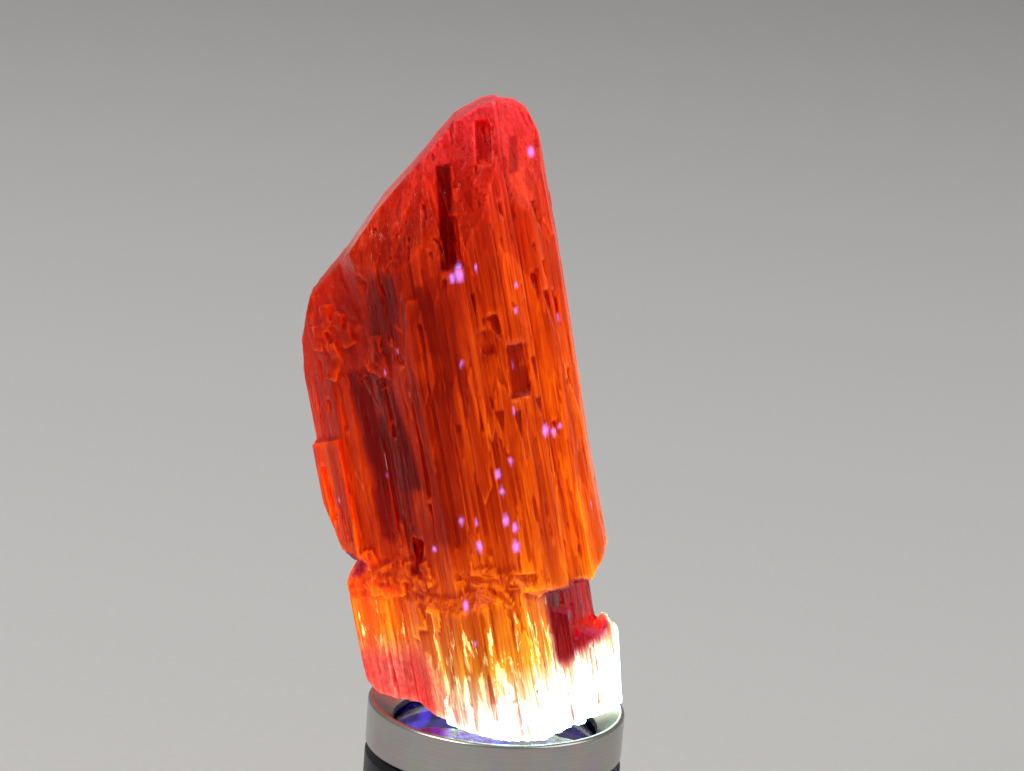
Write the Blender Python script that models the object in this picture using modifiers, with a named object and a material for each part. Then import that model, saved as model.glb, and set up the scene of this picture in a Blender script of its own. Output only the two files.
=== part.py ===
"""A kunzite crystal, standing on the rim of the small ultraviolet lamp that makes it glow.

The lamp is a stack of turned pieces about the Z axis, with its flat foot at z = 0. The crystal is one
natural solid: parallel columns of prism faces, fused, then worn by etching and broken in a few places.
It is drawn in millimetres along its own long axis, from the middle of the lamp's rim: across is its width,
through runs from its front at minus to its back, and up is its length. It leans with that axis.
"""

import math
import random

import bmesh
import bpy
from mathutils import Matrix, Vector

MM = 0.001

# Lamp
RIM_DIAMETER = 25.5
LAMP_HEIGHT = 38.0
CONTACT_GAP = 0.3
CHAMFER = 0.6
BEZEL_HEIGHT = 4.6
BEZEL_SKIRT = 2.2
SKIRT_WALL = 0.5
RIM_LAND = 0.6
MOUTH_DIAMETER = 20.2
MOUTH_DEPTH = 1.9
LIP_THICKNESS = 0.7
GLASS_THICKNESS = 1.8
HEAD_WALL = 1.1
FLOOR_HEIGHT = 17.0
FIN_COUNT = 4
FIN_PITCH = 2.8
FIN_GROOVE = 1.3
FIN_DEPTH = 1.3
FIRST_FIN_HEIGHT = 5.0
BOARD_DIAMETER = 16.0
BOARD_THICKNESS = 1.6
EMITTER_SIDE = 3.6
EMITTER_THICKNESS = 0.8
DOME_DIAMETER = 3.0
THROAT_DIAMETER = 6.4
REFLECTOR_WALL = 0.6

# Crystal
CRYSTAL_LEAN = math.radians(13.7)
ROOF_SLOPE = 40.0
BLOCK_SIZE = 160.0
BELOW_RIM = -8.0
ABOVE_TIP = 64.0
WEAR_SEED = 11
SCALE_SEED = 8
BACK_GROOVES = 12

RIM_RADIUS = RIM_DIAMETER / 2
BEZEL_BOTTOM = LAMP_HEIGHT - BEZEL_HEIGHT
TURNING_STEPS = 48
SHARP_EDGE = math.radians(30)

# Outlines of the fused columns, seen from the crystal's tip, as (across, through) corners
CORE = [(4.5, -11.4), (6.3, -8.6), (7.8, -5.4), (9.2, 5.2), (3.0, 7.4),
        (-4.5, 6.9), (-8.0, 4.6), (-7.2, -3.2), (-5.6, -6.6), (-1.2, -10.0)]
LEFT_FLANK = [(-5.0, -6.6), (-2.0, -3.0), (-3.0, 5.6), (-9.0, 4.9), (-12.4, 2.8),
              (-12.9, -0.6), (-10.2, -3.6)]
LEFT_PLATE = [(-10.4, -4.3), (-9.4, -1.0), (-11.0, 2.0), (-13.0, 1.5), (-13.3, -1.4)]
RIGHT_FACE = [(4.3, -11.2), (7.2, -9.7), (9.8, -7.3), (10.2, 3.0), (3.0, 3.0)]
RIGHT_FLANK = [(9.2, -6.8), (11.4, -5.9), (13.2, -3.2), (13.4, 1.2), (11.6, 4.4), (8.4, 5.9),
               (7.0, 0.0)]
LEFT_WING = [(-12.5, -0.3), (-9.6, -2.3), (-5.0, -3.4), (-4.0, 5.3), (-9.5, 5.4), (-12.5, 3.6)]
BASE_FRONT = [(-4.4, -8.6), (-1.6, -11.3), (0.7, -12.4), (3.0, -12.1), (5.0, -11.0), (6.0, -6.0),
              (-3.0, -4.0)]
RIGHT_STEP = [(4.6, -8.2), (6.6, -7.5), (8.7, -5.4), (9.0, 1.0), (4.0, 1.0)]
RIGHT_BLOCK = [(7.2, -5.6), (9.3, -3.5), (11.3, -0.6), (12.9, 3.4), (10.2, 5.6), (6.0, 5.0)]
RIGHT_KNOB = [(11.2, -0.6), (12.9, 3.2), (11.6, 4.7), (10.2, 2.0)]
RECESS_CORE = [(5.5, -5.6), (7.6, -4.6), (8.5, -2.4), (10.9, -0.8), (12.3, 2.9), (8.0, 5.6), (5.0, 4.0)]
BACK_LEFT = [(-9.2, 3.0), (-1.0, 3.5), (-1.6, 8.3), (-6.4, 8.5), (-9.0, 6.6)]
BACK_RIGHT = [(0.4, 3.5), (10.6, 3.0), (9.8, 6.6), (6.2, 8.7), (1.2, 8.6)]
BACK_RIB = [(-2.4, 5.0), (1.6, 5.0), (1.4, 9.0), (-0.6, 9.5), (-2.2, 8.9)]
UPPER_OUTLINES = [CORE, LEFT_FLANK, RIGHT_FACE, RIGHT_FLANK]
LOWER_OUTLINES = [BASE_FRONT, RIGHT_STEP, RIGHT_BLOCK, LEFT_WING]
BACK_OUTLINES = [BACK_LEFT, BACK_RIGHT, BACK_RIB]


def clear_scene():
    for thing in list(bpy.data.objects):
        bpy.data.objects.remove(thing, do_unlink=True)


def new_collection(name):
    made = bpy.data.collections.new(name)
    bpy.context.scene.collection.children.link(made)
    return made


def new_material(name, colour, roughness, metallic=0.0):
    made = bpy.data.materials.new(name)
    made.use_nodes = True
    made.diffuse_color = (*colour, 1.0)
    surface = made.node_tree.nodes["Principled BSDF"]
    surface.inputs["Base Color"].default_value = (*colour, 1.0)
    surface.inputs["Roughness"].default_value = roughness
    surface.inputs["Metallic"].default_value = metallic
    return made


def new_object(name, mesh, home, finish=None):
    made = bpy.data.objects.new(name, mesh)
    home.objects.link(made)
    if finish:
        mesh.materials.append(finish)
    else:
        made.hide_render = True
        made.display_type = "WIRE"
    return made


def mesh_from(drawing, name):
    """A mesh in metres from a bmesh that was drawn in millimetres."""
    bmesh.ops.recalc_face_normals(drawing, faces=drawing.faces)
    bmesh.ops.scale(drawing, vec=(MM, MM, MM), verts=drawing.verts)
    mesh = bpy.data.meshes.new(name)
    drawing.to_mesh(mesh)
    drawing.free()
    return mesh


def facing(azimuth, rise):
    """The way a face looks: azimuth round the crystal from plus across, rise above level, in degrees."""
    turn = math.radians(azimuth)
    tilt = math.radians(rise)
    return Vector((math.cos(tilt) * math.cos(turn), math.cos(tilt) * math.sin(turn), math.sin(tilt)))


def cleave(drawing, point, normal):
    """Takes away what lies beyond a plane and closes the cut with one flat face."""
    everything = drawing.verts[:] + drawing.edges[:] + drawing.faces[:]
    cut = bmesh.ops.bisect_plane(
        drawing, geom=everything, dist=0.001, plane_co=point, plane_no=normal, clear_outer=True
    )
    rim = [part for part in cut["geom_cut"] if isinstance(part, bmesh.types.BMEdge)]
    if rim:
        bmesh.ops.contextual_create(drawing, geom=rim)


def made_real(piece):
    """Puts what the modifiers make in place of the piece's mesh."""
    bpy.context.view_layer.update()
    shaped = piece.evaluated_get(bpy.context.evaluated_depsgraph_get())
    piece.data = bpy.data.meshes.new_from_object(shaped)
    piece.modifiers.clear()


def turned(name, profile, home, finish, ring=False):
    """A piece turned about Z. The profile is (radius, height) corners that run down its outer side;
    a ring's profile goes on up its inner side and closes."""
    corners = [(radius * MM, 0.0, height * MM) for radius, height in profile]
    edges = [(number, number + 1) for number in range(len(corners) - 1)]
    if ring:
        edges.append((len(corners) - 1, 0))
    mesh = bpy.data.meshes.new(name)
    mesh.from_pydata(corners, edges, [])
    piece = new_object(name, mesh, home, finish)
    turning = piece.modifiers.new("Turning", "SCREW")
    turning.steps = TURNING_STEPS
    turning.render_steps = TURNING_STEPS
    turning.use_merge_vertices = True
    turning.merge_threshold = 0.01 * MM
    made_real(piece)
    piece.data.shade_smooth()
    piece.data.set_sharp_from_angle(angle=SHARP_EDGE)
    return piece


def lamp_head(home, finish):
    """The black body: flat foot, cooling fins, and an open bore that takes everything else."""
    top = BEZEL_BOTTOM - CONTACT_GAP
    bore = RIM_RADIUS - HEAD_WALL
    profile = [(RIM_RADIUS - CHAMFER, top), (RIM_RADIUS, top - CHAMFER)]
    for number in reversed(range(FIN_COUNT)):
        low = FIRST_FIN_HEIGHT + number * FIN_PITCH
        high = low + FIN_GROOVE
        root = RIM_RADIUS - FIN_DEPTH
        profile += [(RIM_RADIUS, high), (root, high), (root, low), (RIM_RADIUS, low)]
    profile += [(RIM_RADIUS, CHAMFER), (RIM_RADIUS - CHAMFER, 0.0), (0.0, 0.0)]
    bore_side = [(0.0, FLOOR_HEIGHT), (bore, FLOOR_HEIGHT), (bore, top)]
    return turned("lamp_head", bore_side + profile, home, finish)


def bezel_ring(home, finish):
    """The steel ring: a narrow land, a wide chamfer down into the mouth, a lip, and a skirt in the bore."""
    land = RIM_RADIUS - RIM_LAND
    mouth = MOUTH_DIAMETER / 2
    lip_top = LAMP_HEIGHT - MOUTH_DEPTH
    lip_bottom = lip_top - LIP_THICKNESS
    skirt_outer = RIM_RADIUS - HEAD_WALL - CONTACT_GAP
    skirt_inner = skirt_outer - SKIRT_WALL
    edge = RIM_LAND / 3
    profile = [
        (RIM_RADIUS - edge, LAMP_HEIGHT),
        (RIM_RADIUS, LAMP_HEIGHT - edge),
        (RIM_RADIUS, BEZEL_BOTTOM + edge),
        (RIM_RADIUS - edge, BEZEL_BOTTOM),
        (skirt_outer, BEZEL_BOTTOM),
        (skirt_outer, BEZEL_BOTTOM - BEZEL_SKIRT),
        (skirt_inner, BEZEL_BOTTOM - BEZEL_SKIRT),
        (skirt_inner, lip_bottom),
        (mouth, lip_bottom),
        (mouth, lip_top),
        (land, LAMP_HEIGHT - edge / 2),
        (land + edge / 2, LAMP_HEIGHT),
    ]
    return turned("bezel_ring", profile, home, finish, ring=True)


def filter_glass(home, finish):
    """The flat violet disc, held up against the bezel's lip."""
    top = LAMP_HEIGHT - MOUTH_DEPTH - LIP_THICKNESS - CONTACT_GAP
    radius = RIM_RADIUS - HEAD_WALL - SKIRT_WALL - 2 * CONTACT_GAP
    edge = CONTACT_GAP
    bottom = top - GLASS_THICKNESS
    profile = [(0.0, top), (radius - edge, top), (radius, top - edge),
               (radius, bottom + edge), (radius - edge, bottom), (0.0, bottom)]
    return turned("filter_glass", profile, home, finish)


def reflector(home, finish):
    """A deep cup, a parabola in section, with a rim under the glass and an open throat at the light."""
    glass_bottom = LAMP_HEIGHT - MOUTH_DEPTH - LIP_THICKNESS - CONTACT_GAP - GLASS_THICKNESS
    top = glass_bottom - CONTACT_GAP
    bottom = FLOOR_HEIGHT + BOARD_THICKNESS + 2 * CONTACT_GAP
    throat = THROAT_DIAMETER / 2
    mouth = RIM_RADIUS - HEAD_WALL - SKIRT_WALL - 2 * CONTACT_GAP
    steps = 7
    inner = []
    for number in range(steps):
        radius = throat + (mouth - REFLECTOR_WALL - throat) * number / (steps - 1)
        rise = (radius**2 - throat**2) / ((mouth - REFLECTOR_WALL) ** 2 - throat**2)
        inner.append((radius, bottom + (top - bottom) * rise))
    outer = [(radius + REFLECTOR_WALL, height) for radius, height in reversed(inner)]
    return turned("reflector", outer + inner, home, finish, ring=True)


def led_board(home, finish):
    bottom = FLOOR_HEIGHT + CONTACT_GAP
    radius = BOARD_DIAMETER / 2
    profile = [(0.0, bottom + BOARD_THICKNESS), (radius, bottom + BOARD_THICKNESS),
               (radius, bottom), (0.0, bottom)]
    return turned("led_board", profile, home, finish)


def led_emitter(home, helpers, finish):
    """A square ceramic package with a round dome fused to it."""
    bottom = FLOOR_HEIGHT + BOARD_THICKNESS + 2 * CONTACT_GAP
    size = (EMITTER_SIDE, EMITTER_SIDE, EMITTER_THICKNESS)
    drawing = bmesh.new()
    place = Matrix.Translation((0.0, 0.0, bottom + EMITTER_THICKNESS / 2))
    bmesh.ops.create_cube(drawing, size=1.0, matrix=place @ Matrix.Diagonal((*size, 1.0)))
    package = new_object("led_emitter", mesh_from(drawing, "led_emitter"), home, finish)
    drawing = bmesh.new()
    top = Matrix.Translation((0.0, 0.0, bottom + EMITTER_THICKNESS))
    bmesh.ops.create_uvsphere(drawing, u_segments=12, v_segments=8, radius=DOME_DIAMETER / 2, matrix=top)
    cleave(drawing, place.translation, (0.0, 0.0, -1.0))
    dome = new_object("led_dome", mesh_from(drawing, "led_dome"), helpers)
    fusing = package.modifiers.new("Dome", "BOOLEAN")
    fusing.operation = "UNION"
    fusing.object = dome
    return package


def column(name, outline, low, high, faces, home, finish=None):
    """One growth column: a block cleaved to an outline, then by end faces given as
    (across, through, up) of a point on the face, its azimuth and its rise."""
    drawing = bmesh.new()
    bmesh.ops.create_cube(drawing, size=BLOCK_SIZE)
    for here, ahead in zip(outline, outline[1:] + outline[:1]):
        along = Vector(ahead) - Vector(here)
        cleave(drawing, (*here, 0.0), (along.y, -along.x, 0.0))
    cleave(drawing, (0.0, 0.0, low), (0.0, 0.0, -1.0))
    cleave(drawing, (0.0, 0.0, high), (0.0, 0.0, 1.0))
    for point, azimuth, rise in faces:
        cleave(drawing, point, facing(azimuth, rise))
    return new_object(name, mesh_from(drawing, name), home, finish)


def spike(name, place, length, low_width, high_width, depth, home, turn=0.0):
    """A long four-sided taper along the crystal, set on its edge, that cuts a V-shaped groove."""
    drawing = bmesh.new()
    bmesh.ops.create_cone(drawing, cap_ends=True, segments=4, radius1=low_width / 2,
                          radius2=high_width / 2, depth=length)
    stretch = Matrix.Diagonal((1.0, 2 * depth / max(low_width, high_width), 1.0, 1.0))
    where = Matrix.Translation(place) @ Matrix.Rotation(math.radians(turn), 4, "Y")
    bmesh.ops.transform(drawing, matrix=where @ stretch, verts=drawing.verts)
    return new_object(name, mesh_from(drawing, name), home)


def chip(name, place, size, turns, home):
    """A block turned about the crystal's three axes, in degrees, that cuts a flat-sided nick."""
    drawing = bmesh.new()
    around = [Matrix.Rotation(math.radians(turn), 4, axis) for turn, axis in zip(turns, "XYZ")]
    where = Matrix.Translation(place) @ around[2] @ around[1] @ around[0]
    bmesh.ops.create_cube(drawing, size=1.0, matrix=where @ Matrix.Diagonal((*size, 1.0)))
    return new_object(name, mesh_from(drawing, name), home)


def depth_at(outline, across, side):
    """How far an outline reaches to the front (side -1) or the back (side 1) at one place across it."""
    reach = None
    for (x0, y0), (x1, y1) in zip(outline, outline[1:] + outline[:1]):
        if min(x0, x1) <= across <= max(x0, x1) and x0 != x1:
            through = y0 + (y1 - y0) * (across - x0) / (x1 - x0)
            if reach is None or side * through > side * reach:
                reach = through
    return reach


def surface_at(outlines, across, side):
    reaches = [depth_at(outline, across, side) for outline in outlines]
    return side * max(side * reach for reach in reaches if reach is not None)


def crystal_columns(home):
    """The growth columns, fused into one body by the crystal's first Boolean."""
    roof = 90.0 - ROOF_SLOPE
    column("left_flank", LEFT_FLANK, 14.6, 52.0, [
        ((-9.4, 0.0, 44.8), 180, roof),
        ((-11.3, 0.0, 42.4), 180, 20),
        ((-12.9, 0.0, 35.4), 180, 7),
        ((-13.1, 0.0, 28.0), 180, -8),
        ((-10.6, 0.0, 17.2), 180, -42),
        ((-8.0, -5.0, 16.0), -90, -38),
        ((-7.0, -4.8, 42.0), -120, 24),
    ], home)
    column("left_plate", LEFT_PLATE, 17.6, 29.8, [
        ((-11.5, 0.0, 29.4), 180, 76),
        ((-12.6, 0.0, 20.4), 180, -14),
        ((-11.8, 0.0, 18.4), 180, -50),
    ], home)
    column("right_face", RIGHT_FACE, 12.6, ABOVE_TIP, [((8.0, -9.0, 13.4), -70, -50)], home)
    column("right_flank", RIGHT_FLANK, 12.3, ABOVE_TIP, [
        ((12.8, 0.0, 14.0), 0, -40),
        ((9.0, -6.2, 12.9), -80, -55),
        ((11.4, -5.4, 50.5), -55, 16),
        ((10.0, 4.6, 50.0), 75, 30),
    ], home)
    column("left_wing", LEFT_WING, BELOW_RIM, 18.4, [
        ((-11.2, 0.0, 16.0), 180, 42),
        ((-12.5, 0.0, 7.0), 180, -3),
        ((-12.4, 0.0, 4.4), 180, -38),
        ((-9.0, -2.4, 16.6), -90, 50),
    ], home)
    column("base_front", BASE_FRONT, BELOW_RIM, 18.0, [
        ((0.7, -12.2, 13.4), -90, 40),
        ((4.8, -11.0, 12.6), -40, 46),
        ((-3.0, -9.8, 13.0), -130, 40),
    ], home)
    column("right_step", RIGHT_STEP, BELOW_RIM, 12.4, [((7.1, -8.0, 11.0), 20, 62)], home)
    column("right_block", RIGHT_BLOCK, BELOW_RIM, 8.0, [
        ((9.2, -3.6, 7.0), 0, 56),
        ((9.6, -4.0, 6.4), 250, 64),
        ((12.9, 0.0, 4.4), 0, -6),
        ((9.0, 0.0, 6.4), 60, 72),
    ], home)
    column("right_knob", RIGHT_KNOB, BELOW_RIM, 6.2, [
        ((12.1, 0.0, 6.1), 0, 30),
        ((11.8, 0.0, 6.0), 190, 60),
        ((12.9, 0.0, 4.4), 0, -6),
    ], home)
    column("recess_core", RECESS_CORE, BELOW_RIM, 16.0, [], home)
    column("back_left", BACK_LEFT, BELOW_RIM, 46.0, [
        ((-5.0, 6.0, 39.0), 150, 46),
        ((-5.0, 7.5, 36.0), 95, 24),
    ], home)
    column("back_right", BACK_RIGHT, BELOW_RIM, 54.0, [
        ((5.0, 6.0, 49.0), 65, 44),
        ((5.0, 7.5, 44.0), 90, 18),
    ], home)
    column("back_rib", BACK_RIB, 6.0, 54.0, [
        ((0.0, 7.0, 46.0), 120, 40),
        ((0.0, 8.6, 9.0), 90, -50),
    ], home)


def hillocks(home):
    """Small tilted scales that etching left on the shoulder and that fill the healed break below it."""
    chance = random.Random(SCALE_SEED)
    zones = [
        ("shoulder_scale", 12, (-10.6, -4.2), (35.5, 42.0), 1.6, 30.0),
        ("break_scale", 14, (-9.6, -3.4), (14.6, 17.6), 1.5, 30.0),
        ("ledge_scale", 6, (-1.4, 5.0), (13.6, 16.0), 1.2, 10.0),
    ]
    for name, count, across_range, up_range, size, slant in zones:
        for number in range(count):
            across = chance.uniform(*across_range)
            up = chance.uniform(*up_range)
            width = size * chance.uniform(0.6, 1.0)
            height = size * chance.uniform(1.0, 1.6)
            turns = (chance.uniform(-14.0, 14.0), chance.uniform(-25.0, 25.0), -slant)
            place = (across, surface_at(UPPER_OUTLINES, across, -1) + 0.36 * size, up)
            chip(f"{name}_{number}", place, (width, size, height), turns, home)


def tip_faces(home):
    """The long slanting face and the worn facets round the tip, as blocks that cut away what is beyond."""
    faces = [
        ((4.3, 0.0, 57.3), 180, 90.0 - ROOF_SLOPE),
        ((6.2, 0.0, 58.7), 180, 68),
        ((8.5, 0.0, 59.6), 180, 87),
        ((9.6, 0.0, 59.6), 0, 80),
        ((11.6, 0.0, 59.1), 0, 48),
        ((12.8, 0.0, 57.4), 0, 16),
        ((7.0, -8.2, 53.5), -88, 22),
        ((7.0, 4.6, 54.0), 85, 34),
    ]
    size = BLOCK_SIZE / 2
    for number, (point, azimuth, rise) in enumerate(faces):
        way = facing(azimuth, rise)
        drawing = bmesh.new()
        turn = way.to_track_quat("Z", "Y").to_matrix().to_4x4()
        place = Matrix.Translation(Vector(point) + way * size / 2)
        bmesh.ops.create_cube(drawing, size=size, matrix=place @ turn)
        new_object(f"tip_face_{number}", mesh_from(drawing, f"tip_face_{number}"), home)


def front_grooves(home):
    """Long V-shaped growth grooves down the front, as (across, low, high, width, depth)."""
    upper = [
        (9.75, 13.0, 33.5, 0.9, 0.9),
        (8.6, 17.0, 31.0, 0.5, 0.4),
        (7.6, 20.0, 42.0, 0.6, 0.35),
        (6.3, 16.5, 39.0, 0.5, 0.35),
        (4.0, 30.0, 44.0, 0.6, 0.5),
        (2.6, 18.0, 43.0, 0.8, 0.4),
        (1.2, 20.0, 36.0, 0.6, 0.35),
        (-0.3, 19.0, 46.0, 0.7, 0.4),
        (-2.2, 24.0, 44.0, 0.7, 0.4),
        (-4.6, 30.0, 41.0, 0.8, 0.4),
        (-5.8, 18.5, 36.0, 0.8, 0.55),
        (-9.4, 30.5, 40.0, 0.7, 0.4),
        (10.9, 15.0, 30.0, 0.5, 0.3),
        (12.2, 24.0, 48.0, 0.5, 0.3),
    ]
    lower = [
        (-1.7, 0.0, 10.5, 0.7, 0.4),
        (0.6, 2.0, 9.5, 0.8, 0.4),
        (2.9, -1.0, 7.5, 0.7, 0.4),
        (-9.4, 4.0, 14.0, 0.6, 0.35),
        (7.6, -2.0, 8.0, 0.6, 0.5),
    ]
    for number, (across, low, high, width, depth) in enumerate(upper + lower):
        outlines = UPPER_OUTLINES if number < len(upper) else LOWER_OUTLINES
        place = (across, surface_at(outlines, across, -1), (low + high) / 2)
        spike(f"front_groove_{number}", place, high - low, width, width / 4, depth, home)


def back_grooves(home):
    """Like grooves down the back, which the lamp's side never shows, spread by chance."""
    chance = random.Random(WEAR_SEED)
    for number in range(BACK_GROOVES):
        across = -8.0 + 18.0 * (number + 0.5) / BACK_GROOVES + chance.uniform(-0.4, 0.4)
        low = chance.uniform(2.0, 22.0)
        length = chance.uniform(10.0, 20.0)
        width = chance.uniform(0.5, 0.9)
        place = (across, surface_at(UPPER_OUTLINES + BACK_OUTLINES, across, 1), low + length / 2)
        spike(f"back_groove_{number}", place, length, width / 4, width, width / 2, home)


def etch_pits(home):
    """Sharp etch pits that narrow downward, as (across, top, bottom, width, depth, lean in degrees)."""
    pits = [
        (8.9, 50.8, 48.6, 0.7, 0.5, -14),
        (12.1, 49.2, 46.8, 0.6, 0.5, 0),
        (10.9, 43.0, 39.8, 0.7, 0.5, -5),
        (11.8, 41.2, 37.0, 1.0, 0.6, -6),
        (12.5, 40.4, 36.4, 0.7, 0.5, 0),
        (12.6, 33.4, 31.0, 0.6, 0.5, 0),
        (7.0, 40.6, 37.2, 1.0, 0.5, -12),
        (8.9, 41.2, 39.8, 0.6, 0.4, -16),
        (-0.2, 41.0, 35.0, 0.8, 0.5, 0),
        (-4.4, 19.9, 16.2, 1.7, 1.8, 14),
    ]
    for number, (across, top, bottom, width, depth, lean) in enumerate(pits):
        place = (across, surface_at(UPPER_OUTLINES, across, -1), (top + bottom) / 2)
        spike(f"etch_pit_{number}", place, top - bottom, width / 5, width, depth, home, lean)


def breaks(home):
    """The deep slot and flat-floored pits in the front, and the places where an edge broke away."""
    floors = [
        ((3.6, -10.2, 51.8), (1.1, 3.4, 7.2), (-8, -4, 14)),
        ((4.1, -10.4, 48.0), (1.5, 3.0, 4.8), (-6, 3, 6)),
        ((4.7, -10.9, 50.6), (0.8, 2.2, 3.6), (-10, 9, 28)),
        ((8.3, -7.0, 56.4), (1.4, 2.2, 4.2), (-22, 6, 0)),
        ((10.8, -6.2, 54.2), (0.8, 2.2, 3.4), (-22, 8, 30)),
        ((8.4, -9.0, 34.8), (2.6, 1.3, 5.2), (0, 6, 38)),
        ((5.8, -10.9, 38.2), (1.2, 1.2, 2.6), (0, -14, 32)),
        ((-6.8, -7.2, 44.0), (2.4, 1.6, 4.4), (-20, 30, -32)),
    ]
    nicks = [
        ((0.8, -11.2, 15.8), (4.6, 1.6, 1.4), (30, 10, -16)),
        ((5.6, -11.0, 15.2), (3.2, 1.8, 1.2), (-24, 14, 32)),
        ((-4.2, -8.6, 8.2), (0.9, 1.6, 9.0), (0, 0, -40)),
        ((10.2, -2.4, 1.8), (0.7, 1.8, 6.0), (0, 4, 40)),
        ((-12.7, -2.8, 24.2), (0.7, 2.4, 5.6), (0, -4, -30)),
        ((13.4, -2.8, 55.0), (0.8, 2.2, 1.6), (10, 20, 20)),
        ((-10.9, -3.0, 17.0), (3.4, 3.4, 0.9), (12, 8, -30)),
    ]
    for number, (place, size, turns) in enumerate(floors + nicks):
        chip(f"break_{number}", place, size, turns, home)


def kunzite_crystal(home, growth, wear, finish):
    """The crystal: its core column, fused with the others, worn, and cut level where it stands."""
    axis = bpy.data.objects.new("crystal_axis", None)
    home.objects.link(axis)
    axis.location = (0.0, 0.0, LAMP_HEIGHT * MM)
    axis.rotation_euler = (0.0, -CRYSTAL_LEAN, 0.0)
    crystal_columns(growth)
    hillocks(growth)
    core_faces = [
        ((-2.6, 0.0, 51.5), 180, 43),
        ((-1.0, -9.4, 47.5), -125, 24),
        ((0.0, 6.0, 47.0), 100, 30),
    ]
    crystal = column("kunzite_crystal", CORE, BELOW_RIM, ABOVE_TIP, core_faces, home, finish)
    tip_faces(wear)
    front_grooves(wear)
    back_grooves(wear)
    etch_pits(wear)
    breaks(wear)
    for piece in [crystal, *growth.objects, *wear.objects]:
        piece.parent = axis
    drawing = bmesh.new()
    below = LAMP_HEIGHT + CONTACT_GAP - BLOCK_SIZE / 2
    bmesh.ops.create_cube(drawing, size=BLOCK_SIZE, matrix=Matrix.Translation((0.0, 0.0, below)))
    level = new_object("level_cut", mesh_from(drawing, "level_cut"), wear)
    fusing = crystal.modifiers.new("Growth", "BOOLEAN")
    fusing.operation = "UNION"
    fusing.operand_type = "COLLECTION"
    fusing.collection = growth
    wearing = crystal.modifiers.new("Wear", "BOOLEAN")
    wearing.operation = "DIFFERENCE"
    wearing.operand_type = "COLLECTION"
    wearing.collection = wear
    return crystal


def build():
    clear_scene()
    lamp_and_crystal = new_collection("kunzite_on_lamp")
    growth = new_collection("crystal_growth")
    wear = new_collection("crystal_wear")
    helpers = new_collection("lamp_helpers")
    black = new_material("anodised_black", (0.015, 0.014, 0.016), 0.45, 0.6)
    steel = new_material("turned_steel", (0.55, 0.54, 0.53), 0.25, 1.0)
    violet_glass = new_material("violet_filter_glass", (0.05, 0.02, 0.12), 0.05)
    bright = new_material("bright_aluminium", (0.88, 0.88, 0.9), 0.08, 1.0)
    board = new_material("board_white", (0.75, 0.75, 0.72), 0.5)
    light = new_material("emitter_ceramic", (0.8, 0.75, 0.6), 0.3)
    glow = new_material("kunzite_glowing", (0.9, 0.25, 0.03), 0.15)
    lamp_head(lamp_and_crystal, black)
    bezel_ring(lamp_and_crystal, steel)
    filter_glass(lamp_and_crystal, violet_glass)
    reflector(lamp_and_crystal, bright)
    led_board(lamp_and_crystal, board)
    led_emitter(lamp_and_crystal, helpers, light)
    kunzite_crystal(lamp_and_crystal, growth, wear, glow)


build()
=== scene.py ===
"""A kunzite crystal that glows orange on the rim of its small ultraviolet lamp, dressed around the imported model.

Sizes are in millimetres in the sections below, and each mesh is turned to metres as it is made.
"""

import itertools
import math
import random

import bmesh
import bpy
import numpy as np
from mathutils import Matrix, Quaternion, Vector
from mathutils.bvhtree import BVHTree


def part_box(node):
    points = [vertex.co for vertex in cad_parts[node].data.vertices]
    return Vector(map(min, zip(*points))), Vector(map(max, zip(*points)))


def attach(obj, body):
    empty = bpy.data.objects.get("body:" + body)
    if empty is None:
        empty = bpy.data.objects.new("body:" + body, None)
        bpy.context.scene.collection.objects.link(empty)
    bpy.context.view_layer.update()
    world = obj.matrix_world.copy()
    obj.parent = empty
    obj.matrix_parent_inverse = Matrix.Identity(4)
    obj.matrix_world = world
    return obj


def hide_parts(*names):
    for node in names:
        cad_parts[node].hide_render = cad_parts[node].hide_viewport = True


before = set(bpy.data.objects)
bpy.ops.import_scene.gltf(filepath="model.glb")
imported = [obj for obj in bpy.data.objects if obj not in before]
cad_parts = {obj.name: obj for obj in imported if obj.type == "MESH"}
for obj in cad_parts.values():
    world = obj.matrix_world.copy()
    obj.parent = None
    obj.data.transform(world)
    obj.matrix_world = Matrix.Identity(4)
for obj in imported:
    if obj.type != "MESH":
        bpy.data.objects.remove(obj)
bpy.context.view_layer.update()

# Lamp head
# The real one is a bar of aluminium, turned to a flat foot and four cooling fins, bored out from the top,
# then anodised black. The board, the reflector, the glass and the ring go into its bore from above.

MM = 0.001
TURNING_STEPS = 192
HEAD_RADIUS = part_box("lamp_head")[1].x / MM
HEAD_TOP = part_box("lamp_head")[1].z / MM
HEAD_WALL = 1.1
BORE_FLOOR = 17.0
FOOT_CHAMFER = 0.6
FIN_LOWS = [5.0, 7.8, 10.6, 13.4]
FIN_GROOVE = 1.3
FIN_DEPTH = 1.3
TURNED_EDGE = 0.12


def softened(corners, radius, ring=False):
    """An outline whose corners are small arcs, as a lathe tool leaves them."""
    points = []
    count = len(corners)
    for number, corner in enumerate(corners):
        if not ring and number in (0, count - 1):
            points.append(Vector(corner))
            continue
        middle = Vector(corner)
        before = Vector(corners[number - 1]) - middle
        after = Vector(corners[(number + 1) % count]) - middle
        start = middle + before.normalized() * min(radius, before.length * 0.4)
        end = middle + after.normalized() * min(radius, after.length * 0.4)
        for share in (0.0, 0.33, 0.67, 1.0):
            points.append(start.lerp(middle, share).lerp(middle.lerp(end, share), share))
    return points


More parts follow.
